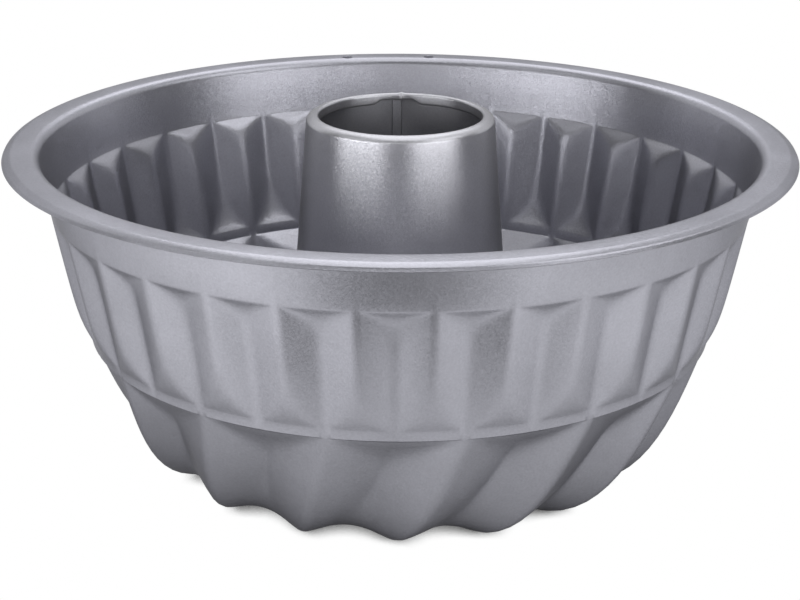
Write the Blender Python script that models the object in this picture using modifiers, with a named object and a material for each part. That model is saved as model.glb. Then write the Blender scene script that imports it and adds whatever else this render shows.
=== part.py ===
"""Fluted tube pan: a deep-drawn bowl with a seamed centre tube clinched into its floor.

Metres, +Z up. The origin is the middle of the ring that the pan stands on, and -Y is the front.
Angles run from the front towards +X. Both pieces are thin sheet: their rings of points lie on the
skin that shows from outside and below, and the sheet's thickness is added on the other side.
"""
import math

import bmesh
import bpy
import numpy as np

# Sheets and the clearance that touching pieces keep
BOWL_SHEET = 0.0006
TUBE_SHEET = 0.0006
SEAT_GAP = 0.0003

# Leaning wall with a smooth collar over the upper flutes
RIM_HEIGHT = 0.1024
WALL_TOP_RADIUS = 0.10997
WALL_LEAN = 0.1861
COLLAR_DEPTH = 0.0172

# Rim: a flat flange with a rounded inner edge and a crowned, turned-down outer edge
FLANGE_WIDTH = 0.01003
RIM_RADIUS = WALL_TOP_RADIUS + FLANGE_WIDTH
RIM_EDGE_HEIGHT = 0.0010
CROWN_DROP = 0.0005
CROWN_WIDTH = 0.0032
RIM_FILLET = 0.0024

# Upper flutes: straight, pressed inwards between narrow crests, two for each lower flute
LOWER_FLUTES = 16
UPPER_FLUTES = 2 * LOWER_FLUTES
UPPER_DEPTH = 0.0028
CREST_WIDTH = 0.0034
VALLEY_WIDTH = 0.0042
LEDGE_DROP = 0.0034
CREST_STEP_DROP = 0.0070
LEAST_STEP = 0.0006

# Smooth band between the two rows of flutes
BAND_TOP_HEIGHT = 0.0476
BAND_WIDTH = 0.0036
BAND_TAPER = 0.0006

# Lower flutes: twisted, on a wall that curves in to the base
LOWER_DEPTH = 0.0058
LOWER_FADE = 0.42
LOWER_LEDGE_DROP = 0.0116
LOWER_CREST_SHARE = 0.13
LOWER_TWIST = math.radians(13.7)
TWIST_POWER = 1.2
CURVE_LEAN = math.radians(19.7)
CURVE_REACH = 0.0225
CURVE_RUN = 0.0194
BASE_RADIUS = 0.0631

# Floor: a flat standing ring, and a raised seat around the hole for the tube
STAND_OUTER_RADIUS = 0.0490
STAND_INNER_RADIUS = 0.0430
SEAT_RISE = 0.0040
SEAT_SLOPE = 0.0018
LIP_HEIGHT = 0.0024

# Centre tube: a cone that is wider at its foot, with its top edge rolled in
TUBE_RISE = 0.0076
TUBE_RIM_RADIUS = 0.02928
TUBE_LEAN = 0.0804
ROLL_REACH = 0.0030
ROLL_RISE = 0.0032
ROLL_EDGE_RADIUS = 0.00085
HEM_HEIGHT = 0.0026
FOOT_HOOK_HEIGHT = 0.0018

# Lock seam inside the tube, at the back, and the gap in the hem above it
SEAM_TURN = math.radians(3.0)
SEAM_WIDTH = 0.0031
SEAM_THICKNESS = 0.0009
SEAM_OVERLAP = 0.0002
SEAM_START = 0.0040
NOTCH_WIDTH = 0.0124
NOTCH_STOP = 0.0010

# Two holes at the back of the flange, to hang the pan by
HANG_HOLE_DIAMETER = 0.0036
HANG_HOLE_SPACING = 0.0295
HANG_HOLE_INSET = 0.0070
HANG_HOLE_RADIUS = RIM_RADIUS - HANG_HOLE_INSET
HANG_HOLE_TURN = math.radians(3.0)

# How far a cutter reaches past what it cuts
CUT_SPARE = 0.0005

# Fineness of the faceted solids
SMOOTH_COLUMNS = 2 * UPPER_FLUTES
TUBE_COLUMNS = 48
CURVE_ROWS = 5
CURVE_SAMPLES = 200
ROLL_STEPS = 3
HOLE_SIDES = 16
SHARP_ANGLE = math.radians(35)

STEEL_GREY = (0.30, 0.30, 0.33, 1.0)


def clear_scene():
    """Remove whatever the file holds."""
    for old in list(bpy.data.objects):
        bpy.data.objects.remove(old, do_unlink=True)


def make_collection(name):
    """Return a new collection linked to the scene."""
    collection = bpy.data.collections.new(name)
    bpy.context.scene.collection.children.link(collection)
    return collection


def coated_steel(name, roughness):
    """Return the satin grey non-stick coat."""
    material = bpy.data.materials.new(name)
    material.use_nodes = True
    shader = material.node_tree.nodes["Principled BSDF"]
    shader.inputs["Base Color"].default_value = STEEL_GREY
    shader.inputs["Metallic"].default_value = 0.6
    shader.inputs["Roughness"].default_value = roughness
    return material


def wall_radius(height):
    """Return the radius of the leaning wall's crests."""
    return WALL_TOP_RADIUS - WALL_LEAN * (RIM_HEIGHT - height)


def tube_radius(height):
    """Return the outer radius of the centre tube."""
    return TUBE_RIM_RADIUS + TUBE_LEAN * (RIM_HEIGHT - height)


def ring(radius, height, angles):
    """Return a closed ring of points, whose radius and height may vary with the angle."""
    radius = radius + np.zeros_like(angles)
    height = height + np.zeros_like(angles)
    return np.column_stack([radius * np.sin(angles), -radius * np.cos(angles), height])


def smooth_angles():
    """Return the angles of a smooth ring: one at each crest and one at each valley."""
    return np.arange(SMOOTH_COLUMNS) * math.tau / SMOOTH_COLUMNS


def flute_angles():
    """Return the angles of a fluted ring: both sides of each valley and of each crest."""
    middle_radius = wall_radius((RIM_HEIGHT - COLLAR_DEPTH + BAND_TOP_HEIGHT) / 2)
    half_valley = VALLEY_WIDTH / 2 / middle_radius
    half_crest = CREST_WIDTH / 2 / middle_radius
    pitch = math.tau / UPPER_FLUTES
    one_pitch = np.array([-half_valley, half_valley, pitch / 2 - half_crest, pitch / 2 + half_crest])
    return (np.arange(UPPER_FLUTES)[:, None] * pitch + one_pitch).ravel()


def upper_share():
    """Return how far each column of an upper flute is pressed in, from 0 to 1."""
    return np.tile([1.0, 1.0, 0.0, 0.0], UPPER_FLUTES)


def lower_share(angles):
    """Return how far each column of a lower flute is pressed in: a round crest, then a straight flank.

    The crests of the lower flutes stand under every second valley of the upper ones.
    """
    phase = angles * LOWER_FLUTES / math.tau - 0.5
    away = 2 * np.abs(phase - np.round(phase))
    crest = LOWER_CREST_SHARE
    rounded = away ** 2 / (2 * crest)
    straight = away - crest / 2
    return np.where(away < crest, rounded, straight) / (1 - crest / 2)


def curve_point(share):
    """Return radius, height and outward normal on the curve from the band down to the base."""
    start = np.array([band_bottom_radius(), band_bottom_height()])
    end = np.array([BASE_RADIUS, 0.0])
    first = start - CURVE_REACH * np.array([math.sin(CURVE_LEAN), math.cos(CURVE_LEAN)])
    last = end + np.array([CURVE_RUN, 0.0])
    rest = 1 - share
    point = (rest ** 3 * start + 3 * rest ** 2 * share * first
             + 3 * rest * share ** 2 * last + share ** 3 * end)
    along = (rest ** 2 * (first - start) + 2 * rest * share * (last - first)
             + share ** 2 * (end - last))
    along = along / np.hypot(*along)
    return point, np.array([-along[1], along[0]])


def band_bottom_height():
    """Return the height of the band's lower edge."""
    return BAND_TOP_HEIGHT - BAND_WIDTH


def band_top_radius():
    """Return the band's radius at its upper edge, level with the upper valleys."""
    return wall_radius(BAND_TOP_HEIGHT) - UPPER_DEPTH


def band_bottom_radius():
    """Return the band's radius at its lower edge."""
    return band_top_radius() - BAND_TAPER


def rim_rings():
    """Return the rings of the turned-down edge, the flange and the fillet into the collar."""
    angles = smooth_angles()
    underside = RIM_HEIGHT - BOWL_SHEET
    edge_radius = RIM_RADIUS - BOWL_SHEET
    rings = [ring(edge_radius, RIM_HEIGHT - CROWN_DROP - RIM_EDGE_HEIGHT, angles)]
    for share in (0.0, 0.5, 1.0):
        swing = share * math.pi / 2
        radius = edge_radius - CROWN_WIDTH * (1 - math.cos(swing))
        rings.append(ring(radius, underside - CROWN_DROP * (1 - math.sin(swing)), angles))
    wall_angle = math.atan2(1, WALL_LEAN)
    corner = wall_radius(underside)
    centre_radius = corner + RIM_FILLET * math.tan(wall_angle / 2)
    for share in (0.0, 0.5, 1.0):
        swing = share * wall_angle
        radius = centre_radius - RIM_FILLET * math.sin(swing)
        rings.append(ring(radius, underside - RIM_FILLET * (1 - math.cos(swing)), angles))
    return rings


def upper_flute_rings():
    """Return the rings from the collar's lower edge down to the band's lower edge."""
    angles = flute_angles()
    pressed = upper_share()
    collar_height = RIM_HEIGHT - COLLAR_DEPTH
    ledge_height = collar_height - np.maximum(LEDGE_DROP * pressed, LEAST_STEP)
    foot_height = BAND_TOP_HEIGHT + np.maximum(CREST_STEP_DROP * (1 - pressed), LEAST_STEP)
    return [
        ring(wall_radius(collar_height), collar_height, angles),
        ring(wall_radius(ledge_height) - UPPER_DEPTH * pressed, ledge_height, angles),
        ring(wall_radius(foot_height) - UPPER_DEPTH * pressed, foot_height, angles),
        ring(band_top_radius(), BAND_TOP_HEIGHT, angles),
        ring(band_bottom_radius(), band_bottom_height(), angles),
    ]


def lower_depth(share):
    """Return the lower flutes' depth, which fades towards the base."""
    return LOWER_DEPTH * (1 - LOWER_FADE * share ** 2)


def lower_flute_rings():
    """Return the rings of the twisted flutes, down the curved wall and in over the base."""
    straight = flute_angles()
    pressed = lower_share(straight)
    ledge_heights = band_bottom_height() - np.maximum(LOWER_LEDGE_DROP * pressed, LEAST_STEP)
    table = np.linspace(0, 1, CURVE_SAMPLES)
    heights = np.array([curve_point(share)[0][1] for share in table])
    ledge_shares = np.interp(-ledge_heights, -heights, table)
    rings = []
    for row in np.linspace(0, 1, CURVE_ROWS + 1):
        shares = ledge_shares + (1 - ledge_shares) * row
        points, normals = zip(*[curve_point(share) for share in shares])
        points = np.array(points) - np.array(normals) * (lower_depth(shares) * pressed)[:, None]
        rings.append(ring(points[:, 0], points[:, 1], straight - LOWER_TWIST * shares ** TWIST_POWER))
    twisted = straight - LOWER_TWIST
    for fade in (0.5, 1.0):
        radius = BASE_RADIUS + (STAND_OUTER_RADIUS - BASE_RADIUS) * fade
        lift = lower_depth(1.0) * pressed * math.cos(fade * math.pi / 2) ** 2
        rings.append(ring(radius, lift, twisted))
    return rings


def seat_rings():
    """Return the rings of the standing ring's inner edge, the raised seat and the lip of the hole."""
    angles = smooth_angles() - LOWER_TWIST
    lip_top = tube_radius(SEAT_RISE) + SEAT_GAP + BOWL_SHEET
    lip_end_height = SEAT_RISE - LIP_HEIGHT
    lip_end = tube_radius(lip_end_height) + SEAT_GAP + BOWL_SHEET
    return [
        ring(STAND_INNER_RADIUS, 0.0, angles),
        ring(STAND_INNER_RADIUS - SEAT_SLOPE, SEAT_RISE, angles),
        ring(lip_top, SEAT_RISE, angles),
        ring(lip_end, lip_end_height, angles),
    ]


def stitch(mesh, upper, lower):
    """Join two rings of vertices; where one has half as many, its columns fall inside each pair."""
    count = max(len(upper), len(lower))
    if len(upper) == len(lower):
        for i in range(count):
            j = (i + 1) % count
            mesh.faces.new((upper[i], lower[i], lower[j], upper[j]))
        return
    for i in range(count // 2):
        near, far, after = 2 * i, 2 * i + 1, (2 * i + 2) % count
        next_one = (i + 1) % (count // 2)
        if len(upper) < len(lower):
            mesh.faces.new((upper[i], lower[near], lower[far]))
            mesh.faces.new((upper[i], lower[far], lower[after], upper[next_one]))
        else:
            mesh.faces.new((upper[near], lower[i], upper[far]))
            mesh.faces.new((upper[far], lower[i], lower[next_one], upper[after]))


def loft_mesh(name, rings):
    """Return a mesh that joins the rings in order, open at its first and last ring."""
    mesh = bmesh.new()
    rows = [[mesh.verts.new(point) for point in points] for points in rings]
    for upper, lower in zip(rows, rows[1:]):
        stitch(mesh, upper, lower)
    data = bpy.data.meshes.new(name)
    mesh.to_mesh(data)
    mesh.free()
    return data


def roll_radius():
    """Return the radius of the ring where the tube's rolled top edge is highest."""
    return tube_radius(RIM_HEIGHT + TUBE_RISE - ROLL_RISE) - ROLL_REACH


def hem_radius():
    """Return the radius of the hem's leaf, which hangs from the rolled edge inside the tube."""
    return roll_radius() - ROLL_EDGE_RADIUS


def hem_top():
    """Return the height where the hem's leaf leaves the rolled edge."""
    return RIM_HEIGHT + TUBE_RISE - ROLL_EDGE_RADIUS


def tube_profile():
    """Return the tube's section, from the hem's end over the roll and down to the foot's hook."""
    shoulder = RIM_HEIGHT + TUBE_RISE - ROLL_RISE
    swings = [math.pi / 2 * step / ROLL_STEPS for step in range(ROLL_STEPS + 1)]
    points = [(hem_radius(), hem_top() - HEM_HEIGHT)]
    for swing in swings:
        points.append((roll_radius() - ROLL_EDGE_RADIUS * math.cos(swing),
                       hem_top() + ROLL_EDGE_RADIUS * math.sin(swing)))
    for swing in swings[1:]:
        points.append((roll_radius() + ROLL_REACH * math.sin(swing),
                       shoulder + ROLL_RISE * math.cos(swing)))
    foot_height = SEAT_RISE - LIP_HEIGHT - SEAT_GAP
    hook_radius = tube_radius(foot_height) + 2 * SEAT_GAP + BOWL_SHEET
    points.append((tube_radius(foot_height), foot_height))
    points.append((hook_radius, foot_height))
    points.append((hook_radius, foot_height + FOOT_HOOK_HEIGHT))
    return points


def line_mesh(name, points):
    """Return a mesh of edges through the points, in the XZ plane."""
    data = bpy.data.meshes.new(name)
    edges = [(i, i + 1) for i in range(len(points) - 1)]
    data.from_pydata([(x, 0.0, z) for x, z in points], edges, [])
    return data


def add_object(name, data, collection):
    """Return a new object that holds the mesh."""
    thing = bpy.data.objects.new(name, data)
    collection.objects.link(thing)
    return thing


def add_sheet(thing, thickness):
    """Give an open surface the sheet's thickness, on the side away from its normals."""
    solid = thing.modifiers.new("Sheet", "SOLIDIFY")
    solid.thickness = thickness
    solid.offset = -1.0
    solid.use_even_offset = True


def add_boolean(thing, tool, operation):
    """Cut a tool out of an object, or join it on."""
    modifier = thing.modifiers.new(tool.name, "BOOLEAN")
    modifier.operation = operation
    modifier.solver = "EXACT"
    modifier.object = tool


def as_tool(thing):
    """Mark an object as a shape that only cuts or joins."""
    thing.hide_render = True
    thing.display_type = "WIRE"
    return thing


def make_bowl(parts, tools):
    """Build the one-piece bowl, with its two hanging holes."""
    rings = rim_rings() + upper_flute_rings() + lower_flute_rings() + seat_rings()
    bowl = add_object("fluted_bowl", loft_mesh("fluted_bowl", rings), parts)
    bowl.data.materials.append(coated_steel("bowl_coat", 0.40))
    bowl.data.shade_smooth()
    bowl.data.set_sharp_from_angle(angle=SHARP_ANGLE)
    add_sheet(bowl, BOWL_SHEET)
    across = math.asin(HANG_HOLE_SPACING / 2 / HANG_HOLE_RADIUS)
    for name, side in (("left_hole", -1), ("right_hole", 1)):
        turn = math.pi + HANG_HOLE_TURN - side * across
        cutter = as_tool(add_object(name, rod_mesh(name), tools))
        cutter.location = (HANG_HOLE_RADIUS * math.sin(turn), -HANG_HOLE_RADIUS * math.cos(turn), RIM_HEIGHT)
        add_boolean(bowl, cutter, "DIFFERENCE")
    return bowl


def rod_mesh(name):
    """Return an upright rod of the hanging hole's bore, long enough to pass through the flange."""
    mesh = bmesh.new()
    radius = HANG_HOLE_DIAMETER / 2
    bmesh.ops.create_cone(mesh, cap_ends=True, segments=HOLE_SIDES, radius1=radius, radius2=radius,
                          depth=2 * (BOWL_SHEET + CUT_SPARE))
    data = bpy.data.meshes.new(name)
    mesh.to_mesh(data)
    mesh.free()
    return data


def block_mesh(name, low, high, lean=0.0):
    """Return a box between two corners, whose depth leans outwards by lean for each metre down."""
    mesh = bmesh.new()
    bmesh.ops.create_cube(mesh, size=1.0)
    for vertex in mesh.verts:
        share = [0.5 + value for value in vertex.co]
        x, y, z = [a + (b - a) * s for a, b, s in zip(low, high, share)]
        vertex.co = (x, y + lean * (high[2] - z), z)
    data = bpy.data.meshes.new(name)
    mesh.to_mesh(data)
    mesh.free()
    return data


def make_tube(parts, tools):
    """Build the centre tube: turned sheet, a seam strip inside its back and a gap in the hem."""
    profile = tube_profile()
    tube = add_object("centre_tube", line_mesh("centre_tube", profile), parts)
    tube.data.materials.append(coated_steel("tube_coat", 0.36))
    turn = tube.modifiers.new("Turn", "SCREW")
    turn.axis = "Z"
    turn.angle = math.tau
    turn.steps = TUBE_COLUMNS
    turn.render_steps = TUBE_COLUMNS
    turn.use_merge_vertices = True
    turn.merge_threshold = 0.00001
    turn.use_smooth_shade = True
    add_sheet(tube, TUBE_SHEET)

    half_notch = NOTCH_WIDTH / 2
    near = math.sqrt(hem_radius() ** 2 - half_notch ** 2) - CUT_SPARE
    far = hem_radius() + TUBE_SHEET + CUT_SPARE
    notch = block_mesh("hem_gap", (-half_notch, near, hem_top() - HEM_HEIGHT - CUT_SPARE),
                       (half_notch, far, hem_top() - NOTCH_STOP))
    seam_foot = SEAT_RISE + SEAM_START
    seam_top = RIM_HEIGHT + TUBE_RISE - ROLL_RISE
    inner = tube_radius(seam_top) - TUBE_SHEET + SEAM_OVERLAP
    strip = block_mesh("lock_seam", (-SEAM_WIDTH / 2, inner - SEAM_OVERLAP - SEAM_THICKNESS, seam_foot),
                       (SEAM_WIDTH / 2, inner, seam_top), TUBE_LEAN)
    for data, operation in ((notch, "DIFFERENCE"), (strip, "UNION")):
        tool = as_tool(add_object(data.name, data, tools))
        tool.rotation_euler.z = SEAM_TURN
        add_boolean(tube, tool, operation)
    return tube


def main():
    """Build the pan."""
    clear_scene()
    parts = make_collection("fluted_tube_pan")
    tools = make_collection("tools")
    make_bowl(parts, tools)
    make_tube(parts, tools)


main()
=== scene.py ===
import logging
import math
from dataclasses import dataclass
from enum import Enum

import bmesh
import bpy
import numpy as np
from bpy.types import Camera, Light, Material, Mesh, NodeSocket, NodeTree, Object, World
from mathutils import Matrix, Vector


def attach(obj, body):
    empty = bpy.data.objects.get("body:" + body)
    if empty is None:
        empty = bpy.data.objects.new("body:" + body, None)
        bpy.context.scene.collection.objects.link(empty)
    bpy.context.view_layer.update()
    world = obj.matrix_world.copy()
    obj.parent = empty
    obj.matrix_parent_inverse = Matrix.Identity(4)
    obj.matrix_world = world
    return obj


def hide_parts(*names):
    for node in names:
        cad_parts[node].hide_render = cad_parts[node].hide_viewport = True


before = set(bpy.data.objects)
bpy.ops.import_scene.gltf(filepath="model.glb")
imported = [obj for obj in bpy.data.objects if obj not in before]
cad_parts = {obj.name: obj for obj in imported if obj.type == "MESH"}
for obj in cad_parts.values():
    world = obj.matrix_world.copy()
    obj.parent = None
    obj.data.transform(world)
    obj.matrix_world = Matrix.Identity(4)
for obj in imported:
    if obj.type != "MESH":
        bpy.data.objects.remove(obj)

log = logging.getLogger("tube_pan")

# The least that a blended field or a difference of radii is, and the least length of a vector
FIELD_FLOOR = 1e-5
LENGTH_FLOOR = 1e-12

# Edges that turn by more degrees than this are drawn sharp
SHARP_TURN = 38.0

SocketValue = NodeSocket | float | tuple[float, ...]


def soft_lower(a: np.ndarray, b: np.ndarray, crispness: float) -> np.ndarray:
    """Return the lower of two non-negative fields with a rounded change-over.

    Formula: the reciprocal p-norm, (a^-p + b^-p)^(-1/p). It is zero wherever either field is zero.

    Args:
        a: First field, zero or more.
        b: Second field, zero or more.
        crispness: The power p; higher is a tighter rounding.

    Returns:
        The blended field.
    """
    a, b = np.broadcast_arrays(np.maximum(a, FIELD_FLOOR), np.maximum(b, FIELD_FLOOR))
    low, high = np.minimum(a, b), np.maximum(a, b)
    return low * (1 + (low / high) ** crispness) ** (-1 / crispness)


def soft_ramp(x: np.ndarray, rounding: float) -> np.ndarray:
    """Return x above zero and nothing below it, with the corner rounded: (x + sqrt(x^2 + r^2)) / 2."""
    return (x + np.sqrt(x * x + rounding * rounding)) / 2


def smooth_step(x: np.ndarray, start: float, end: float) -> np.ndarray:
    """Return 0 at start, 1 at end and a smooth cubic between them."""
    t = np.clip((x - start) / (end - start), 0, 1)
    return t * t * (3 - 2 * t)


def arc(centre: tuple[float, float], radius: float, first: float, last: float, steps: int) -> np.ndarray:
    """Return points of an arc in a section plane.

    Args:
        centre: Radius and height of the arc's middle, in metres.
        radius: Radius of the arc, in metres.
        first: Angle of the first point in degrees, from straight up towards the outside.
        last: Angle of the last point in degrees.
        steps: Number of points.

    Returns:
        An array of (radius, height) rows.
    """
    turn = np.radians(np.linspace(first, last, steps))
    return np.column_stack([centre[0] + radius * np.sin(turn), centre[1] + radius * np.cos(turn)])


def rounded_path(corners: np.ndarray, radii: tuple[float, ...], steps: int = 4) -> np.ndarray:
    """Return a polyline whose inner corners are replaced by quadratic curves.

    Args:
        corners: The (radius, height) corners in order.
        radii: How far along both edges each inner corner's curve starts.
        steps: Number of points of each curve.

    Returns:
        An array of (radius, height) rows.
    """
    t = np.linspace(0, 1, steps)[:, None]
    points = [corners[:1]]
    for before, corner, after, reach in zip(corners, corners[1:], corners[2:], radii):
        start = corner + (before - corner) * reach / np.hypot(*(before - corner))
        end = corner + (after - corner) * reach / np.hypot(*(after - corner))
        points.append((1 - t) ** 2 * start + 2 * t * (1 - t) * corner + t ** 2 * end)
    return np.vstack(points + [corners[-1:]])


def to_points(radius: np.ndarray, height: np.ndarray, angle: np.ndarray) -> np.ndarray:
    """Return points from radius, height and the angle from the front (-Y) towards +X."""
    radius, height, angle = np.broadcast_arrays(radius, height, angle)
    return np.stack([radius * np.sin(angle), -radius * np.cos(angle), height], axis=-1)


def unit(vectors: np.ndarray) -> np.ndarray:
    """Return the vectors at length one."""
    return vectors / np.maximum(np.linalg.norm(vectors, axis=-1, keepdims=True), LENGTH_FLOOR)


def skin_normals(grid: np.ndarray) -> np.ndarray:
    """Return the normals of a grid of points that is closed along its columns.

    Formula: the cross product of the mean directions along the rows and along the columns.

    Args:
        grid: Points as (rows, columns, 3).

    Returns:
        Normals of the same shape.
    """
    step = unit(np.diff(grid, axis=0))
    down = unit(np.concatenate([step[:1], step[:-1] + step[1:], step[-1:]]))
    around = unit(np.roll(grid, -1, axis=1) - grid)
    around = unit(around + np.roll(around, 1, axis=1))
    return unit(np.cross(down, around))


def grid_quads(steps: int, rows: int, columns: int) -> list[list[int]]:
    """Return the faces of a grid of points that is closed along its columns.

    Args:
        steps: Number of steps from row to row, as many as the rows where the last joins the first.
        rows: Number of rows.
        columns: Number of columns.

    Returns:
        The four corners of each face.
    """
    i, j = np.meshgrid(np.arange(steps), np.arange(columns), indexing="ij")
    below, beside = (i + 1) % rows, (j + 1) % columns
    corners = [i * columns + j, below * columns + j, below * columns + beside, i * columns + beside]
    return np.stack(corners, axis=-1).reshape(-1, 4).tolist()


def ring_mesh(name: str, section: np.ndarray) -> Mesh:
    """Return the mesh of a closed section carried right round, as a grid closed both ways.

    Args:
        name: Name of the mesh.
        section: Points as (rows, columns, 3); the last row joins the first, and so do the columns.

    Returns:
        A smooth mesh whose faces point outwards.
    """
    rows, columns = section.shape[:2]
    mesh = bpy.data.meshes.new(name)
    mesh.from_pydata(section.reshape(-1, 3), [], grid_quads(rows, rows, columns))
    mesh.shade_smooth()
    return mesh


def put_object(name: str, data: Mesh | Light | Camera) -> Object:
    """Return a new object at the origin.

    Args:
        name: Name of the object.
        data: What it holds.

    Returns:
        The object, in the scene.
    """
    thing = bpy.data.objects.new(name, data)
    bpy.context.scene.collection.objects.link(thing)
    return thing


def sharpen(mesh: Mesh) -> None:
    """Mark the edges that turn by more than the sharp turn, so that faces beside them shade flat."""
    mesh.set_sharp_from_angle(angle=math.radians(SHARP_TURN))


def set_input(tree: NodeTree, socket: NodeSocket, value: SocketValue) -> None:
    """Link the value to the socket if it is a socket too, and otherwise set it as a constant.

    Args:
        tree: The nodes that both belong to.
        socket: The input.
        value: A node's output, a number or a tuple of numbers.
    """
    if isinstance(value, NodeSocket):
        tree.links.new(value, socket)
    else:
        socket.default_value = value


def calculate(tree: NodeTree, operation: str, *values: SocketValue) -> NodeSocket:
    """Return the result of a math node.

    Args:
        tree: The nodes to add it to.
        operation: The node's operation.
        values: Its inputs in order.

    Returns:
        The node's output.
    """
    node = tree.nodes.new("ShaderNodeMath")
    node.operation = operation
    for socket, value in zip(node.inputs, values):
        set_input(tree, socket, value)
    return node.outputs[0]


def calculate_vector(tree: NodeTree, operation: str, *values: SocketValue,
                     scale: NodeSocket | None = None) -> NodeSocket:
    """Return the result of a vector math node.

    Args:
        tree: The nodes to add it to.
        operation: The node's operation.
        values: Its vector inputs in order.
        scale: What the vector is multiplied by, where the operation is SCALE.

    Returns:
        The node's output: a value where the operation is LENGTH, and otherwise a vector.
    """
    node = tree.nodes.new("ShaderNodeVectorMath")
    node.operation = operation
    for socket, value in zip(node.inputs, values):
        set_input(tree, socket, value)
    if scale is not None:
        set_input(tree, node.inputs["Scale"], scale)
    return node.outputs["Value" if operation == "LENGTH" else "Vector"]


def ramp(tree: NodeTree, value: NodeSocket, start: float, end: float) -> NodeSocket:
    """Return a socket that goes smoothly from 0 at start to 1 at end.

    Args:
        tree: The nodes to add it to.
        value: The value that is mapped.
        start: Where it begins.
        end: Where it is 1.

    Returns:
        The mapped value.
    """
    node = tree.nodes.new("ShaderNodeMapRange")
    node.interpolation_type = "SMOOTHSTEP"
    node.inputs["From Min"].default_value = start
    node.inputs["From Max"].default_value = end
    tree.links.new(value, node.inputs["Value"])
    return node.outputs["Result"]


class Grain(Enum):
    """The two noises of the coat: waves to a metre, and their detail."""

    SPECKLE = (1500.0, 2.0)
    CLOUD = (34.0, 3.0)


def noise(tree: NodeTree, place: NodeSocket, grain: Grain) -> NodeSocket:
    """Return the value of a noise of one grain.

    Args:
        tree: The nodes to add it to.
        place: The coordinates.
        grain: Which grain.

    Returns:
        The noise's value, from 0 to 1.
    """
    waves = tree.nodes.new("ShaderNodeTexNoise")
    waves.inputs["Scale"].default_value, waves.inputs["Detail"].default_value = grain.value
    tree.links.new(place, waves.inputs["Vector"])
    return waves.outputs["Fac"]


def flake_group() -> NodeTree:
    """Return the shader group of a sprayed coat with metal flake in it.

    Small cells of random lean stand for the flakes, and two noises for the spray's unevenness.

    Returns:
        A group with the inputs Coat, Spread, Lean and Base Roughness, and the outputs Color,
        Roughness and Normal.
    """
    found = bpy.data.node_groups.get("sprayed_flake_coat")
    if found:
        return found
    flake_scale, speckle_share, cloud_roughness = 3600.0, 0.75, 0.08
    group = bpy.data.node_groups.new("sprayed_flake_coat", "ShaderNodeTree")
    for name, side, kind in (("Coat", "INPUT", "Color"), ("Spread", "INPUT", "Float"),
                             ("Lean", "INPUT", "Float"), ("Base Roughness", "INPUT", "Float"),
                             ("Color", "OUTPUT", "Color"), ("Roughness", "OUTPUT", "Float"),
                             ("Normal", "OUTPUT", "Vector")):
        group.interface.new_socket(name, in_out=side, socket_type="NodeSocket" + kind)
    nodes, links = group.nodes, group.links
    inside, outside = nodes.new("NodeGroupInput"), nodes.new("NodeGroupOutput")
    place = nodes.new("ShaderNodeTexCoord").outputs["Object"]

    flakes = nodes.new("ShaderNodeTexVoronoi")
    flakes.inputs["Scale"].default_value = flake_scale
    links.new(place, flakes.inputs["Vector"])
    centred = calculate_vector(group, "SUBTRACT", flakes.outputs["Color"], (0.5, 0.5, 0.5))
    leaned = calculate_vector(group, "SCALE", centred, scale=inside.outputs["Lean"])
    facing = nodes.new("ShaderNodeNewGeometry").outputs["Normal"]
    turned = calculate_vector(group, "ADD", facing, leaned)
    links.new(calculate_vector(group, "NORMALIZE", turned), outside.inputs["Normal"])

    speckle, cloud = noise(group, place, Grain.SPECKLE), noise(group, place, Grain.CLOUD)
    grain = calculate(group, "MULTIPLY_ADD", speckle, speckle_share, cloud)
    shift = calculate(group, "SUBTRACT", grain, (1 + speckle_share) / 2)
    level = calculate(group, "ADD", calculate(group, "MULTIPLY", shift, inside.outputs["Spread"]), 1.0)
    tint = calculate_vector(group, "SCALE", inside.outputs["Coat"], scale=level)
    links.new(tint, outside.inputs["Color"])

    dull = calculate(group, "MULTIPLY_ADD", cloud, cloud_roughness, inside.outputs["Base Roughness"])
    links.new(dull, outside.inputs["Roughness"])
    return group


@dataclass(frozen=True)
class SatinCoat:
    """The satin non-stick coat with metal flake, sprayed on the steel sheets.

    Attributes:
        name: Name of the material.
        coat: Linear colour of the coat.
        metallic: How metallic the coat is.
        roughness: Roughness before the spray's unevenness.
        spread: Strength of the colour grain.
        lean: How far the flakes lean out of the surface.
        edge: How bright the coat is where it is seen edge on.
        brushed: How much the sheet's turning marks draw highlights out along the axis.
    """

    name: str
    coat: tuple[float, float, float]
    metallic: float
    roughness: float
    spread: float
    lean: float
    edge: float = 0.34
    brushed: float = 0.0

    def material(self) -> Material:
        """Return the coat as a material.

        Returns:
            A material that the flake group feeds.
        """
        made = bpy.data.materials.new(self.name)
        made.use_nodes = True
        nodes, links = made.node_tree.nodes, made.node_tree.links
        shader = nodes["Principled BSDF"]
        shader.inputs["Metallic"].default_value = self.metallic
        shader.inputs["Specular Tint"].default_value = (self.edge, self.edge, self.edge, 1.0)
        group = nodes.new("ShaderNodeGroup")
        group.node_tree = flake_group()
        for name, value in (("Coat", (*self.coat, 1.0)), ("Spread", self.spread), ("Lean", self.lean),
                            ("Base Roughness", self.roughness)):
            group.inputs[name].default_value = value
        for name, target in (("Color", "Base Color"), ("Roughness", "Roughness"), ("Normal", "Normal")):
            links.new(group.outputs[name], shader.inputs[target])
        if self.brushed:
            quarter_turn = 0.25
            around = nodes.new("ShaderNodeTangent")
            around.direction_type = "RADIAL"
            around.axis = "Z"
            links.new(around.outputs[0], shader.inputs["Tangent"])
            shader.inputs["Anisotropic"].default_value = self.brushed
            shader.inputs["Anisotropic Rotation"].default_value = quarter_turn
        return made


# Heights of rows over the collar's lower edge and over the band's upper edge, in metres
COLLAR_ROWS = np.array([0.0078, 0.0030, 0.0007, 0.0003])
BAND_ROWS = np.array([0.0, -0.0004, -0.0018, -0.0033])

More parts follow.
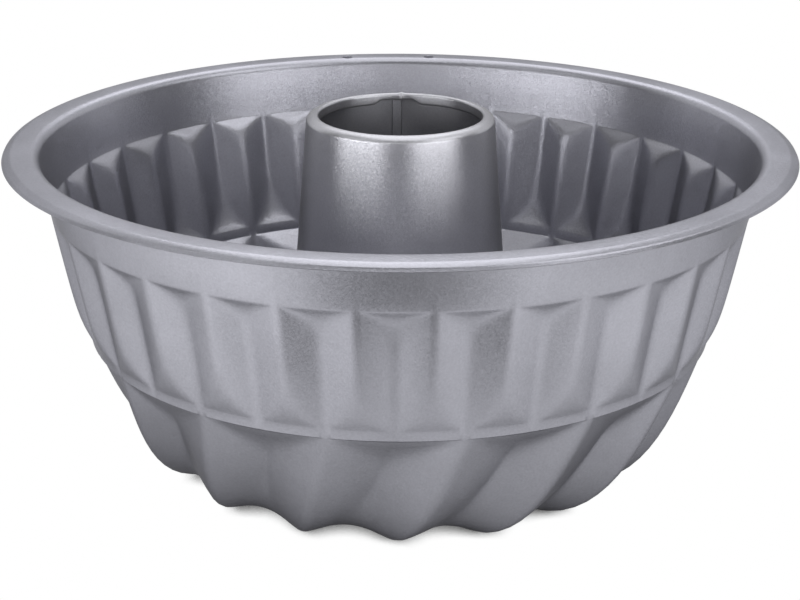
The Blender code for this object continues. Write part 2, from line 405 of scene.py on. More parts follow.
# Rows of the ledge, the foot and the lower ledge: a share of the curve's own reach, and what is added
LEDGE_ROWS = np.array([[0.0, 0.03], [0.2, 0.08], [0.5, 0.13], [0.8, 0.2], [1.0, 0.28], [1.25, 0.42],
                       [1.6, 0.7]])
FOOT_ROWS = np.array([[1.7, 0.7], [1.35, 0.5], [1.15, 0.36], [1.0, 0.27], [0.85, 0.2], [0.6, 0.14],
                      [0.35, 0.09], [0.12, 0.04]])
LOWER_LEDGE_ROWS = np.array([[0.0, 0.0], [0.03, 0.006], [0.3, 0.013], [0.62, 0.02], [0.86, 0.028],
                             [1.0, 0.036], [1.12, 0.046]])

# Points at which the lower crest's line is sampled, to find the place of a height on it
CURVE_SAMPLES = 400

# Shares of the way from the ledge's last row to the foot's first
FLUTE_ROWS = np.array([0.34, 0.67])


@dataclass
class FlutedBowl:
    """The deep-drawn bowl. Sizes are in metres, on the skin that shows from outside and below.

    The column shares are of half an upper flute, from its valley's middle. A drop or a rise is how
    far below the collar or above the band a curve ends, and a crispness is soft_lower's power.
    """

    sheet: float = 0.0006
    coat: SatinCoat = SatinCoat("bowl_satin_coat", (0.380, 0.381, 0.424), 0.94, 0.32, 0.36, 0.11)

    rim_radius: float = 0.1200
    rim_height: float = 0.1024
    shoulder_radius: float = 0.0030
    shoulder_turn: float = 16.0
    crown_radius: float = 0.0060
    crown_turn: float = 30.0
    curl_radius: float = 0.0012
    curl_turn: float = 62.0
    skirt: float = 0.0007
    fillet_radius: float = 0.0024
    rim_steps: tuple[int, ...] = (5, 3, 4)
    fillet_steps: int = 8

    wall_top_radius: float = 0.10997
    wall_lean: float = 0.1861
    collar_depth: float = 0.0177
    collar_round: float = 0.07

    column_shares: tuple[float, ...] = (0, 0.065, 0.135, 0.205, 0.36, 0.62, 0.83, 0.885, 0.945)
    lower_flutes: int = 16
    upper_depth: float = 0.0028
    crest_width: float = 0.0034
    valley_width: float = 0.0042
    ledge_drop: float = 0.0042
    ledge_power: float = 0.76
    ledge_crispness: float = 2.8
    foot_rise: float = 0.0085
    foot_power: float = 0.62
    foot_crispness: float = 3.5
    foot_round: float = 0.07

    band_top: float = 0.0476
    band_width: float = 0.0036
    band_taper: float = 0.0006

    lower_depth: float = 0.0058
    lower_fade: float = 0.42
    lower_fade_start: float = 0.35
    lower_ledge_drop: float = 0.0116
    lower_ledge_crispness: float = 3.4
    lower_ledge_round: float = 0.12
    lower_rows: int = 15
    lower_row_power: float = 1.08
    lower_crest_share: float = 0.13
    lower_crease_share: float = 0.05
    lower_crease_start: float = 0.25
    lower_crease_end: float = 0.65
    lower_twist: float = math.radians(13.7)
    twist_power: float = 1.2
    curve_lean: float = math.radians(19.7)
    curve_reach: float = 0.0225
    curve_run: float = 0.0194
    base_radius: float = 0.0631

    base_steps: int = 5
    stand_outer: float = 0.0490
    stand_step: float = 0.0020
    stand_inner: float = 0.0430
    seat_rise: float = 0.0040
    seat_slope: float = 0.0018
    lip_radius: float = 0.03809
    lip_end_radius: float = 0.03828
    lip_height: float = 0.0024
    seat_rounds: tuple[float, ...] = (0.0010, 0.0010, 0.0007)

    hole_diameter: float = 0.0036
    hole_spacing: float = 0.0295
    hole_radius: float = 0.1130
    hole_turn: float = math.radians(3.0)
    hole_bevel: float = 0.00012
    hole_overrun: float = 0.0010
    hole_steps: int = 48
    burr_width: float = 0.00030
    burr_depth: float = 0.00060
    burr_step: float = 0.00004
    burr_cover: float = 0.00014

    def wall_radius(self, height: np.ndarray) -> np.ndarray:
        """Return the radius of the leaning wall's crests at a height."""
        return self.wall_top_radius - self.wall_lean * (self.rim_height - height)

    def columns(self) -> np.ndarray:
        """Return the angles of the grid's columns, closest together on the crests and valleys.

        Formula: each half pitch of the upper flutes has the same shares, mirrored from one to the next.

        Returns:
            The angles in order, right round from the front's valley.
        """
        half = math.tau / self.lower_flutes / 4
        share = np.array(self.column_shares)
        one_pitch = np.concatenate([share, 2 - share[:0:-1], [1.0]]) * half
        return (np.arange(2 * self.lower_flutes)[:, None] * 2 * half + np.sort(one_pitch)).ravel()

    def pressed(self, angle: np.ndarray, pitch: float, crest: float,
                valley: float | np.ndarray) -> np.ndarray:
        """Return how far a flute is pressed in: 0 on its crest and 1 in its valley.

        Formula: a V whose slope grows linearly over the crest's share and fades over the valley's.

        Args:
            angle: Angle from a valley's middle.
            pitch: Angle from one valley to the next.
            crest: Share of half a pitch over which the crest is rounded.
            valley: Share of half a pitch over which the valley is rounded.

        Returns:
            The pressed share, one for each angle.
        """
        phase = angle / pitch
        away = 1 - 2 * np.abs(phase - np.round(phase))
        rise = np.where(away < crest, away ** 2 / (2 * crest), away - crest / 2)
        over = np.maximum(away - (1 - valley), 0)
        return (rise - over ** 2 / (2 * valley)) / (1 - crest / 2 - valley / 2)

    def rim_rows(self) -> np.ndarray:
        """Return the section of the turned-down edge, the crown, the flat flange and the fillet.

        Formula: a short straight skirt, three arcs that meet without a corner, the flat flange, and
        an arc that touches both it and the leaning wall.

        Returns:
            An array of (radius, height) rows, on the skin below.
        """
        bends = [(self.curl_radius, self.curl_turn), (self.crown_radius, self.crown_turn),
                 (self.shoulder_radius, self.shoulder_turn)]
        middle = np.array([0.0, self.rim_height - self.shoulder_radius])
        middles = [middle]
        for (tight, _), (wide, turn) in zip(bends[-2::-1], bends[:0:-1]):
            lean = math.radians(turn)
            middle = middle + (wide - tight) * np.array([math.sin(lean), math.cos(lean)])
            middles.insert(0, middle)
        edge = math.radians(self.curl_turn)
        along = np.array([math.cos(edge), -math.sin(edge)])
        reach = middles[0][0] + self.curl_radius * math.sin(edge) + self.skirt * along[0]
        ends = [turn for _, turn in bends[1:]] + [0.0]
        turned = [arc(tuple(place), radius - self.sheet, first, last, steps) + [self.rim_radius - reach, 0]
                  for place, (radius, first), last, steps in zip(middles, bends, ends, self.rim_steps)]
        skirt = turned[0][:1] + self.skirt * along
        over = np.vstack([skirt, turned[0], turned[1][1:], turned[2][1:]])
        wall_angle = math.atan2(1, self.wall_lean)
        underside = self.rim_height - self.sheet
        corner = self.wall_radius(underside)
        turn = (corner + self.fillet_radius * math.tan(wall_angle / 2), underside - self.fillet_radius)
        flat = np.array([[(over[-1, 0] + turn[0]) / 2, underside]])
        fillet = arc(turn, self.fillet_radius, 0, -math.degrees(wall_angle), self.fillet_steps)
        return np.vstack([over, flat, fillet])

    def wall_grid(self, angle: np.ndarray) -> tuple[np.ndarray, np.ndarray]:
        """Return radius and height of the collar, the upper flutes and the band.

        Formula: the wall leans evenly, and each point is pressed in by the softly lower of the
        flute's V and the ledge's curve under the collar, and let out again by the softly lower of
        what is left of the crest and the foot's curve over the band.

        Args:
            angle: Angles of the columns.

        Returns:
            Radius and height as (rows, columns).
        """
        collar_edge = self.rim_height - self.collar_depth
        pitch = math.tau / (2 * self.lower_flutes)
        middle = self.wall_radius((collar_edge + self.band_top) / 2) * pitch / 2
        press = self.pressed(angle, pitch, self.crest_width / 2 / middle, self.valley_width / 2 / middle)
        ledge_reach = press ** (1 / self.ledge_power)
        foot_reach = (1 - press) ** (1 / self.foot_power)

        smooth = COLLAR_ROWS[:, None] + collar_edge + 0 * angle
        ledge = collar_edge - self.ledge_drop * (LEDGE_ROWS[:, :1] * ledge_reach + LEDGE_ROWS[:, 1:])
        foot = self.band_top + self.foot_rise * (FOOT_ROWS[:, :1] * foot_reach + FOOT_ROWS[:, 1:])
        flute = ledge[-1] + (foot[0] - ledge[-1]) * FLUTE_ROWS[:, None]
        band = BAND_ROWS[:, None] + self.band_top + 0 * angle
        height = np.vstack([smooth, ledge, flute, foot, band])

        depth = soft_ramp((collar_edge - height) / self.ledge_drop, self.collar_round)
        dent = soft_lower(press + 0 * height, depth ** self.ledge_power, self.ledge_crispness)
        rise = soft_ramp((height - self.band_top) / self.foot_rise, self.foot_round)
        proud = soft_lower(1 - dent, rise ** self.foot_power, self.foot_crispness)
        taper = self.wall_radius(self.band_top) - (self.band_top - height) * self.band_taper / self.band_width
        base = np.where(height < self.band_top, taper, self.wall_radius(height))
        return base - self.upper_depth * (1 - proud), height

    def curve(self, share: np.ndarray) -> tuple[np.ndarray, np.ndarray, np.ndarray, np.ndarray]:
        """Return the lower crest's line, a cubic curve from the band in to the base.

        Args:
            share: Parameter from 0 at the band to 1 at the base.

        Returns:
            Radius, height and the outward normal's radius and height parts.
        """
        band_end = self.band_top - self.band_width
        first = (self.wall_radius(self.band_top) - self.upper_depth - self.band_taper, band_end)
        second = (first[0] - self.curve_reach * math.sin(self.curve_lean),
                  first[1] - self.curve_reach * math.cos(self.curve_lean))
        corners = np.array([first, second, (self.base_radius + self.curve_run, 0.0), (self.base_radius, 0.0)])
        rest = 1 - share
        weights = np.stack([rest ** 3, 3 * rest ** 2 * share, 3 * rest * share ** 2, share ** 3], axis=-1)
        slopes = np.stack([rest ** 2, 2 * rest * share, share ** 2], axis=-1)
        point = weights @ corners
        along = unit(slopes @ np.diff(corners, axis=0))
        return point[..., 0], point[..., 1], -along[..., 1], along[..., 0]

    def lower_grid(self, angle: np.ndarray) -> tuple[np.ndarray, np.ndarray, np.ndarray]:
        """Return radius, height and angle of the twisted lower flutes and the base.

        Formula: a point of the crest's curve moves along its inward normal by the softly lower of
        the flute's section and the ledge under the band, and turns back by a power of its share.

        Args:
            angle: Angles of the columns before the twist.

        Returns:
            Radius, height and angle as (rows, columns).
        """
        pitch = math.tau / self.lower_flutes
        press = self.pressed(angle, pitch, self.lower_crest_share, self.lower_crease_share)
        table = np.linspace(0, 1, CURVE_SAMPLES)
        drop = (self.band_top - self.band_width - self.curve(table)[1]) / self.lower_ledge_drop
        ledge_end = np.interp(press, drop, table)
        near = LOWER_LEDGE_ROWS[:, :1] * ledge_end + LOWER_LEDGE_ROWS[:, 1:]
        far = np.linspace(0, 1, self.lower_rows)[1:, None] ** self.lower_row_power
        far = near[-1] + (1 - near[-1]) * far
        share = np.vstack([near, far])
        radius, height, out, up = self.curve(share)
        widening = self.lower_crease_end - self.lower_crease_share
        crease = self.lower_crease_share + widening * smooth_step(share, self.lower_crease_start, 1)
        press = self.pressed(angle, pitch, self.lower_crest_share, crease)
        ledge = soft_ramp(np.interp(share, table, drop), self.lower_ledge_round)
        depth = self.lower_depth * (1 - self.lower_fade * smooth_step(share, self.lower_fade_start, 1))
        dent = depth * soft_lower(press, ledge, self.lower_ledge_crispness)
        twisted = angle - self.lower_twist * share ** self.twist_power
        fade = np.linspace(0, 1, self.base_steps + 1)[1:, None]
        base_radius = self.base_radius + (self.stand_outer - self.base_radius) * fade + 0 * angle
        lift = dent[-1] * np.cos(fade * math.pi / 2) ** 2
        flat = (angle - self.lower_twist) + 0 * lift
        return (np.vstack([radius - out * dent, base_radius]), np.vstack([height - up * dent, lift]),
                np.vstack([twisted, flat]))

    def seat_rows(self) -> np.ndarray:
        """Return the section of the standing ring, the raised seat and the lip of the hole.

        Formula: straight lines from corner to corner, with a quadratic curve at each inner corner.

        Returns:
            An array of (radius, height) rows, on the skin below.
        """
        corners = np.array([
            (self.stand_outer - self.stand_step, 0.0),
            (self.stand_inner, 0.0),
            (self.stand_inner - self.seat_slope, self.seat_rise),
            (self.lip_radius, self.seat_rise),
            (self.lip_end_radius, self.seat_rise - self.lip_height),
        ])
        return rounded_path(corners, self.seat_rounds)

    def section(self) -> np.ndarray:
        """Return both skins of the bowl as one closed section at each column.

        Formula: the rows of the rim, the wall, the lower flutes and the seat, and then the same rows
        backwards, moved against their normals by the sheet's thickness.

        Returns:
            Points as (rows, columns, 3).
        """
        angle = self.columns()
        rim = self.rim_rows()
        wall_radius, wall_height = self.wall_grid(angle)
        low_radius, low_height, low_angle = self.lower_grid(angle)
        seat = self.seat_rows()
        outer = np.concatenate([
            to_points(rim[:, :1], rim[:, 1:], angle),
            to_points(wall_radius, wall_height, angle),
            to_points(low_radius, low_height, low_angle),
            to_points(seat[:, :1], seat[:, 1:], angle - self.lower_twist),
        ])
        inner = outer - skin_normals(outer) * self.sheet
        return np.concatenate([outer, inner[::-1]])

    def hole_cutter(self, turn: float) -> Object:
        """Return a rod with bevelled mouths that cuts one hanging hole.

        Args:
            turn: Angle of the hole from the front.

        Returns:
            The rod, in place.
        """
        bore, bevel, overrun = self.hole_diameter / 2, self.hole_bevel, self.hole_overrun
        top, low = self.rim_height, self.rim_height - self.sheet
        shape = np.array([[bore + bevel + overrun, low - overrun], [bore, low + bevel],
                          [bore, top - bevel], [bore + bevel + overrun, top + overrun]])
        columns = np.arange(self.hole_steps)
        rod = to_points(shape[:, :1], shape[:, 1:], columns * math.tau / self.hole_steps)
        faces = grid_quads(len(shape) - 1, len(shape), self.hole_steps)
        caps = [columns[::-1].tolist(), (columns + (len(shape) - 1) * self.hole_steps).tolist()]
        mesh = bpy.data.meshes.new("hole_cutter")
        mesh.from_pydata((rod + self.hole_place(turn)).reshape(-1, 3), [], faces + caps)
        return put_object("hole_cutter", mesh)

    def hole_place(self, turn: float) -> np.ndarray:
        """Return where a hole's axis meets the floor's level, from its angle from the front."""
        return to_points(np.array(self.hole_radius), np.array(0.0), np.array(turn))

    def hole_burr(self, turn: float) -> Mesh:
        """Return the short edge that the punch leaves below one hanging hole, as a ring.

        Args:
            turn: Angle of the hole from the front.

        Returns:
            The ring's mesh, in place.
        """
        bore = self.hole_diameter / 2 - self.burr_step
        wide = bore + self.burr_width
        top, low = self.rim_height - self.burr_cover, self.rim_height - self.sheet - self.burr_depth
        ring = np.array([(wide, top), (wide, low), (bore, low), (bore, top)])
        points = to_points(ring[:, :1], ring[:, 1:], np.arange(self.hole_steps) * math.tau / self.hole_steps)
        return ring_mesh("hole_burr", points + self.hole_place(turn))

    def build(self) -> Object:
        """Return the bowl: both skins, the two hanging holes and its coat.

        Returns:
            The finished piece, in place of the solids' node.
        """
        bowl = put_object("fluted_bowl_sheet", ring_mesh("fluted_bowl_sheet", self.section()))
        across = math.asin(self.hole_spacing / 2 / self.hole_radius)
        turns = [math.pi + self.hole_turn + side * across for side in (-1, 1)]
        cutters = [self.hole_cutter(turn) for turn in turns]
        for cutter in cutters:
            cut = bowl.modifiers.new(cutter.name, "BOOLEAN")
            cut.operation = "DIFFERENCE"
            cut.solver = "EXACT"
            cut.object = cutter
        graph = bpy.context.evaluated_depsgraph_get()
        finished = bpy.data.meshes.new_from_object(bowl.evaluated_get(graph))
        bowl.modifiers.clear()
        bowl.data = finished
        for cutter in cutters:
            bpy.data.objects.remove(cutter, do_unlink=True)
        whole = bmesh.new()
        for part in [finished] + [self.hole_burr(turn) for turn in turns]:
            whole.from_mesh(part)
        whole.to_mesh(finished)
        whole.free()
        sharpen(finished)
        finished.materials.clear()
        finished.materials.append(self.coat.material())
        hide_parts("fluted_bowl")
        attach(bowl, "root")
        log.info("%s: %d faces", bowl.name, len(finished.polygons))
        return bowl


# How far the tube's close columns lie from either edge of the seam's strip, in metres
SEAM_COLUMNS = np.array([-0.00035, -0.0002, -0.00008, 0.0, 0.00012, 0.0003])

# Shares of the way from the hem's lower edge to the roll
LEAF_ROWS = np.array([0.5, 0.9])


@dataclass
class CentreTube:
    """The rolled and seamed centre tube. Sizes are in metres, on the tube's outer skin.

    The hem's leaf hangs inside the roll, the hook is the foot's turned-up edge round the bowl's lip,
    and the notch is the gap in the hem's leaf at the seam.
    """

    sheet: float = 0.0006
    coat: SatinCoat = SatinCoat("tube_satin_coat", (0.470, 0.470, 0.503), 0.93, 0.32, 0.32, 0.10,
                                brushed=0.60)

    rim_height: float = 0.1024
    rise: float = 0.0076
    rim_radius: float = 0.02928
    lean: float = 0.0804
    roll_radius: float = 0.0030
    roll_rise: float = 0.0020
    roll_edge: float = 0.00075
    hem_height: float = 0.0027
    hem_round: float = 0.0007
    hem_turns: tuple[float, float] = (-160.0, -90.0)

    even_columns: int = 144
    hem_steps: int = 5
    roll_steps: tuple[int, int] = (8, 12)
    wall_rows: int = 26
    notch_columns: int = 9

    foot_height: float = 0.0013
    wall_end: float = 0.0012
    hook_start: float = 0.0010
    hook_gap: float = 0.0012
    hook_height: float = 0.0018
    hook_rounds: tuple[float, float] = (0.0004, 0.0004)

    seam_turn: float = math.radians(3.0)
    seam_width: float = 0.0031
    seam_height: float = 0.0006
    seam_edges: tuple[float, float] = (0.00008, -0.00012)
    seam_mark: float = 0.00030
    seam_mark_width: float = 0.0006
    seam_mark_rows: tuple[float, float] = (-0.0010, 0.0006)
    slit_width: float = 0.00016
    slit_depth: float = 0.00018
    slit_fade: float = 0.0040
    notch_width: float = 0.0124
    notch_stop: float = 0.0013
    notch_slope: float = 0.0032

    def radius(self, height: np.ndarray) -> np.ndarray:
        """Return the tube's outer radius at a height."""
        return self.rim_radius + self.lean * (self.rim_height - height)

    def columns(self) -> np.ndarray:
        """Return the angles of the columns: even ones, and closer ones at the seam and the notch.

        Returns:
            The angles in order.
        """
        even = np.arange(self.even_columns) * math.tau / self.even_columns
        half_seam = self.seam_width / 2
        close = np.concatenate([SEAM_COLUMNS - half_seam, half_seam - SEAM_COLUMNS]) / self.rim_radius
        notch = np.linspace(-1, 1, self.notch_columns) * self.notch_slope / 2
        hem = self.rim_radius - self.roll_radius - self.roll_edge
        notch = np.concatenate([notch - self.notch_width / 2, notch + self.notch_width / 2]) / hem
        middle = math.pi + self.seam_turn
        return np.unique(np.round(np.concatenate([even, close + middle, notch + middle]), 7))

    def section(self) -> np.ndarray:
        """Return both skins of the tube as one closed section at each column.

        Formula: the hem's leaf, the roll's tight and wide arcs, the leaning wall and the foot's hook,
        set in by the sheet's thickness for the other skin. The leaf's end rises over the notch by a
        smooth step. The seam adds a flat ridge to the inner skin, a bump over the roll and a slit.

        Returns:
            Points as (rows, columns, 3).
        """
        angle = self.columns()
        top = self.rim_height + self.rise
        roll = top - self.roll_rise
        outer = float(self.radius(roll))
        leaf_top, leaf = top - self.roll_edge, outer - self.roll_radius - self.roll_edge
        away = (angle - math.pi - self.seam_turn + math.pi) % math.tau - math.pi
        cut = smooth_step(np.abs(away) * leaf, (self.notch_width + self.notch_slope) / 2,
                          (self.notch_width - self.notch_slope) / 2)
        leaf_end = leaf_top - self.hem_height + (self.hem_height - self.notch_stop) * cut
        under = arc((leaf + self.hem_round, self.hem_round), self.hem_round, *self.hem_turns, self.hem_steps)
        share = LEAF_ROWS[:, None]
        low = leaf_end + under[-1, 1]
        leaf_height = np.vstack([leaf_end + under[:, 1:], low + (leaf_top - low) * share])
        leaf_radius = np.vstack([under[:, :1] + 0 * angle, leaf + 0 * angle + 0 * share])
        tight = arc((outer - self.roll_radius, leaf_top), self.roll_edge, -90, 0, self.roll_steps[0])
        wide = arc((outer - self.roll_radius, 0.0), self.roll_radius, 0, 90, self.roll_steps[1])[1:]
        wide[:, 1] = roll + wide[:, 1] * self.roll_rise / self.roll_radius
        over = np.vstack([tight, wide])
        wall = np.linspace(roll, self.foot_height + self.wall_end, self.wall_rows)[1:, None]
        foot_radius = float(self.radius(self.foot_height))
        hook_top = self.foot_height + self.hook_start
        hook = rounded_path(np.array([
            (float(self.radius(hook_top)), hook_top),
            (foot_radius, self.foot_height),
            (foot_radius + self.hook_gap, self.foot_height),
            (foot_radius + self.hook_gap, self.foot_height + self.hook_height),
        ]), self.hook_rounds)
        plain_radius = np.vstack([over[:, :1], self.radius(wall), hook[:, :1]])
        plain_height = np.vstack([over[:, 1:], wall, hook[:, 1:]])
        radius = np.vstack([leaf_radius, plain_radius + 0 * angle])
        height = np.vstack([leaf_height, plain_height + 0 * angle])

        across = away * self.rim_radius
        half_seam = self.seam_width / 2
        ridge = smooth_step(np.abs(across), half_seam + self.seam_edges[0], half_seam + self.seam_edges[1])
        grid = to_points(radius, height, angle)
        normals = skin_normals(grid)
        on_top = smooth_step(height, roll + self.seam_mark_rows[0], roll + self.seam_mark_rows[1])
        on_top = on_top * (radius > leaf - FIELD_FLOOR)
        above_foot = smooth_step(height, self.foot_height, self.foot_height + self.slit_fade)
        past_leaf = np.arange(len(height))[:, None] >= len(leaf_height)
        slit = np.exp(-((across + half_seam) / self.slit_width) ** 2) * above_foot * past_leaf
        bump = np.exp(-((across + half_seam) / self.seam_mark_width) ** 2)
        mark = self.seam_mark * bump * on_top - self.slit_depth * slit * (1 - on_top)
        marked = grid + normals * mark[..., None]
        in_bore = np.zeros(len(height))
        start = len(leaf_height) + len(over)
        in_bore[start:start + len(wall) - 1] = 1
        thick = self.sheet + self.seam_height * ridge * in_bore[:, None]
        inner = grid - normals * thick[..., None]
        return np.concatenate([marked, inner[::-1]])

    def build(self) -> Object:
        """Return the tube with its roll, hem, seam, foot and coat.

        Returns:
            The finished piece, in place of the solids' node.
        """
        mesh = ring_mesh("centre_tube_sheet", self.section())
        sharpen(mesh)
        mesh.materials.append(self.coat.material())
        tube = put_object("centre_tube_sheet", mesh)
        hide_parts("centre_tube")
        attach(tube, "root")
        log.info("%s: %d faces", tube.name, len(mesh.polygons))
        return tube


class Lamp(Enum):
    """The studio's soft panels: turn from the front in degrees, distance, height, size and level.

    The lengths are in metres, and the level is the panel's own brightness, where white is 1.
    """

    FRONT = (0.0, 0.80, 0.46, (0.60, 0.40), 1.1)
    LOW_LEFT = (-47.0, 0.80, 0.16, (0.88, 0.30), 4.8)
    LOW_RIGHT = (42.0, 0.80, 0.16, (0.82, 0.30), 4.5)
    HIGH_LEFT = (-62.0, 0.65, 0.80, (0.70, 0.50), 1.0)
    HIGH_RIGHT = (68.0, 0.65, 0.80, (0.80, 0.50), 2.2)
    OVERHEAD = (180.0, 0.32, 0.93, (0.66, 1.50), 1.8)


@dataclass
class Studio:
    """A white floor and backdrop behind the pan, a dark studio in front of it, and soft panels.

    Attributes:
        floor_size: Side of the square floor.
        painted_shade_middle: How far in front of the pan the middle of the painted shade on the floor's front
            end lies.
        painted_shade_side: How far to the right of the pan it lies.
        painted_shade_reach: Half width and half depth of that painted shade.
        painted_light_front_gain: How much brighter the painted light makes the mirrored floor in front, near
            the low panels.
        painted_light_left_gain: How much brighter still the painted light makes it on the left there.
        mirrored_shade: How far the painted shade from the pan reaches on the floor that shows in its own
            coat.
        contact_shade: How far the painted contact shadow from the pan reaches on the floor that the camera
            sees.
        contact_clear: Openness to the sky from which that floor is fully white.
        backdrop_top: Sine of the angle up to which the backdrop is fully white.
        backdrop_fade: How much further up it ends.
        backdrop_side: How far back a direction leads where the backdrop is fully white.
        white: The white of the floor.
        painted_shade_edge: Where the painted shade's edge starts and ends, in shares of its reach.
        painted_light_front_edge: Where the painted light on the floor's front starts, and where it is full.
        painted_light_left_edge: The same from right to left.
        shade_samples: Rays that measure how open the floor is.
        aim_height: Height at which the lamps are aimed.
    """

    floor_size: float = 6.0
    painted_shade_middle: float = 0.42
    painted_shade_side: float = 0.010
    painted_shade_reach: tuple[float, float] = (0.17, 0.24)
    painted_light_front_gain: float = 0.20
    painted_light_left_gain: float = 0.42
    mirrored_shade: float = 0.08
    contact_shade: float = 0.007
    contact_clear: float = 0.34
    backdrop_top: float = 0.7
    backdrop_fade: float = 0.2
    backdrop_side: float = 0.5
    white: float = 0.8
    painted_shade_edge: tuple[float, float] = (0.75, 1.25)
    painted_light_front_edge: tuple[float, float] = (-0.05, -0.30)
    painted_light_left_edge: tuple[float, float] = (0.25, -0.25)
    shade_samples: int = 16
    aim_height: float = 0.06

    def white_rays(self, tree: NodeTree) -> NodeSocket:
        """Return a socket that is 1 for the rays which show the white surroundings.

        Args:
            tree: The material's nodes.

        Returns:
            The largest of the camera, glossy and transmission ray flags.
        """
        rays = tree.nodes.new("ShaderNodeLightPath")
        flag = rays.outputs["Is Camera Ray"]
        for name in ("Is Glossy Ray", "Is Transmission Ray"):
            flag = calculate(tree, "MAXIMUM", flag, rays.outputs[name])
        return flag

    def openness(self, tree: NodeTree, reach: float) -> NodeSocket:
        """Return how open the floor is to the sky within a reach: 1 far from the pan. It paints the pan's
        shade into the floor's glow.

        Args:
            tree: The material's nodes.
            reach: How far the painted shade from the pan reaches.

        Returns:
            The openness.
        """
        shade = tree.nodes.new("ShaderNodeAmbientOcclusion")
        shade.samples = self.shade_samples
        shade.inputs["Distance"].default_value = reach
        return shade.outputs["AO"]

    def floor_material(self) -> Material:
        """Return the floor: a white one with painted shade from the pan, and painted shade on its end towards
        the camera.

        The painted shade on its end is a soft ellipse. What the pan mirrors of the floor is a glow of painted
        light with painted shade from the pan, growing brighter to the front and the left, and what the camera
        sees is white past a painted contact shadow.

        Returns:
            The material.
        """
        made = bpy.data.materials.new("white_floor")
        made.use_nodes = True
        tree = made.node_tree
        nodes, links = tree.nodes, tree.links
        board = nodes["Principled BSDF"]
        board.inputs["Roughness"].default_value = 0.9
        board.inputs["Specular IOR Level"].default_value = 0.0

        place = nodes.new("ShaderNodeTexCoord").outputs["Object"]
        # Painted shade: a soft ellipse in front of the pan darkens the floor's colour and its mirrored glow
        wide, deep = self.painted_shade_reach
        shares = calculate_vector(tree, "MULTIPLY_ADD", place, (1 / wide, 1 / deep, 0.0),
                                  (-self.painted_shade_side / wide, self.painted_shade_middle / deep, 0.0))
        outside_painted_shade = ramp(tree, calculate_vector(tree, "LENGTH", shares), *self.painted_shade_edge)
        links.new(calculate_vector(tree, "SCALE", (self.white,) * 3, scale=outside_painted_shade), board.inputs["Base Color"])

        # Painted light: the floor that the pan mirrors glows brighter to the front and the left, with painted
        # shade from the pan
        parts = nodes.new("ShaderNodeSeparateXYZ")
        links.new(place, parts.inputs[0])
        front = ramp(tree, parts.outputs["Y"], *self.painted_light_front_edge)
        left = ramp(tree, parts.outputs["X"], *self.painted_light_left_edge)
        slope = calculate(tree, "MULTIPLY_ADD", left, self.painted_light_left_gain, self.painted_light_front_gain)
        gain = calculate(tree, "MULTIPLY_ADD", front, slope, 1.0)
        shaded = calculate(tree, "MULTIPLY", self.openness(tree, self.mirrored_shade), outside_painted_shade)
        mirrored = calculate(tree, "MULTIPLY", shaded, gain)
        # Painted shadow: the floor that the camera sees is darkened near the pan's contact
        seen = ramp(tree, self.openness(tree, self.contact_shade), 0.0, self.contact_clear)

        level = nodes.new("ShaderNodeMix")
        links.new(nodes.new("ShaderNodeLightPath").outputs["Is Camera Ray"], level.inputs[0])
        links.new(mirrored, level.inputs[2])
        links.new(seen, level.inputs[3])
        glow = nodes.new("ShaderNodeEmission")
        links.new(level.outputs[0], glow.inputs["Strength"])
        either = nodes.new("ShaderNodeMixShader")
        links.new(self.white_rays(tree), either.inputs[0])
        links.new(board.outputs[0], either.inputs[1])
        links.new(glow.outputs[0], either.inputs[2])
        links.new(either.outputs[0], nodes["Material Output"].inputs["Surface"])
        return made

    def floor(self) -> Object:
        """Return the floor, which is square and carries no part of the pan.

        Returns:
            The floor's object.
        """
        half = self.floor_size / 2
        corners = [(-half, -half, 0), (half, -half, 0), (half, half, 0), (-half, half, 0)]
        mesh = bpy.data.meshes.new("studio_floor")
        mesh.from_pydata(corners, [], [(0, 1, 2, 3)])
        mesh.materials.append(self.floor_material())
        thing = put_object("studio_floor", mesh)
        return thing

    def lamp(self, kind: Lamp) -> Object:
        """Return one soft panel, turned towards the pan.

        Args:
            kind: Which lamp.

        Returns:
            The lamp's object.
        """
        turn, distance, height, size, level = kind.value
        data = bpy.data.lights.new(kind.name.lower() + "_panel", "AREA")
        data.shape = "RECTANGLE"
        data.size, data.size_y = size
        data.energy = level * math.pi * size[0] * size[1]
        thing = put_object(data.name, data)
        side = math.radians(turn)
        thing.location = (distance * math.sin(side), -distance * math.cos(side), height)
        towards = Vector((0, 0, self.aim_height)) - thing.location
        thing.rotation_euler = towards.to_track_quat("-Z", "Y").to_euler()
        return thing

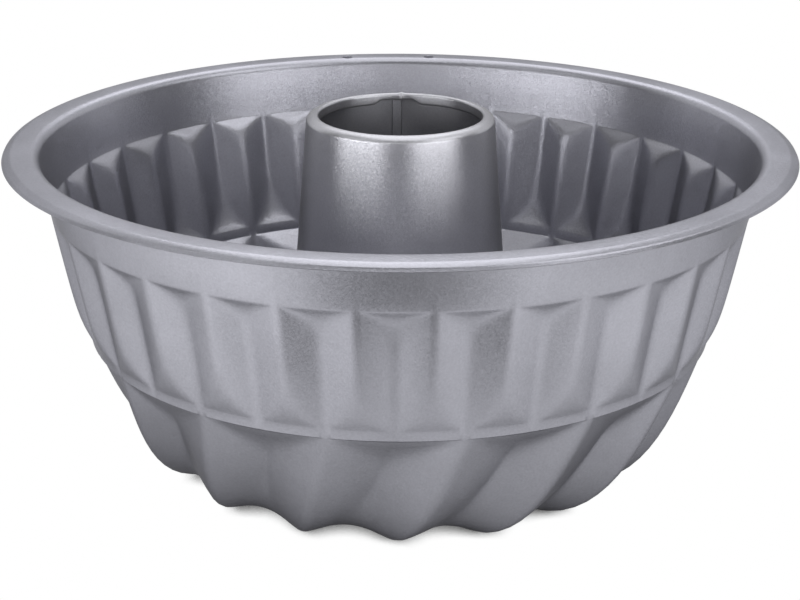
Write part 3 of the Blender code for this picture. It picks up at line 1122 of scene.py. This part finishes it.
    def world(self) -> World:
        """Return the world: white to the camera, and in reflections a white backdrop behind the pan.

        Returns:
            The world, set as the scene's.
        """
        made = bpy.data.worlds.new("studio_world")
        bpy.context.scene.world = made
        made.use_nodes = True
        tree = made.node_tree
        nodes, links = tree.nodes, tree.links
        place = nodes.new("ShaderNodeTexCoord")
        parts = nodes.new("ShaderNodeSeparateXYZ")
        links.new(place.outputs["Generated"], parts.inputs[0])
        behind = ramp(tree, parts.outputs["Y"], 0.0, self.backdrop_side)
        below = ramp(tree, parts.outputs["Z"], self.backdrop_top + self.backdrop_fade, self.backdrop_top)
        backdrop = calculate(tree, "MULTIPLY", behind, below)
        rays = nodes.new("ShaderNodeLightPath")
        level = calculate(tree, "MAXIMUM", backdrop, rays.outputs["Is Camera Ray"])
        links.new(level, nodes["Background"].inputs["Strength"])
        nodes["Background"].inputs["Color"].default_value = (1, 1, 1, 1)
        return made

    def build(self) -> None:
        """Set up the floor, the lamps and the world."""
        self.floor()
        for kind in Lamp:
            self.lamp(kind)
        self.world()
        bpy.context.scene.view_settings.view_transform = "Standard"


@dataclass(frozen=True)
class PhotoCamera:
    """The camera at the photograph's place, worked out from the rims' ellipses."""

    focal_pixels: float = 1859.0
    frame_width: int = 800
    distance: float = 0.55188
    height: float = 0.25144
    azimuth: float = 0.63
    heading: float = 0.62
    tilt: float = 69.898
    roll: float = 0.271
    sensor_width: float = 36.0
    clip_start: float = 0.01

    def build(self) -> Object:
        """Return the camera and make it the scene's.

        Returns:
            The camera's object.
        """
        data = bpy.data.cameras.new("photo_camera")
        data.sensor_width = self.sensor_width
        data.lens = self.focal_pixels / self.frame_width * data.sensor_width
        data.clip_start = self.clip_start
        thing = put_object("photo_camera", data)
        side = math.radians(self.azimuth)
        place = Vector((self.distance * math.sin(side), -self.distance * math.cos(side), self.height))
        thing.matrix_world = (Matrix.Translation(place) @ Matrix.Rotation(math.radians(self.heading), 4, "Z")
                              @ Matrix.Rotation(math.radians(self.tilt), 4, "X")
                              @ Matrix.Rotation(math.radians(self.roll), 4, "Z"))
        bpy.context.scene.camera = thing
        return thing


def main() -> None:
    """Build the pan, the studio and the camera."""
    logging.basicConfig(level=logging.INFO, format="%(name)s: %(message)s")
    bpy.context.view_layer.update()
    for assembly in (FlutedBowl(), CentreTube()):
        assembly.build()
    Studio().build()
    PhotoCamera().build()


if __name__ == "__main__":
    main()
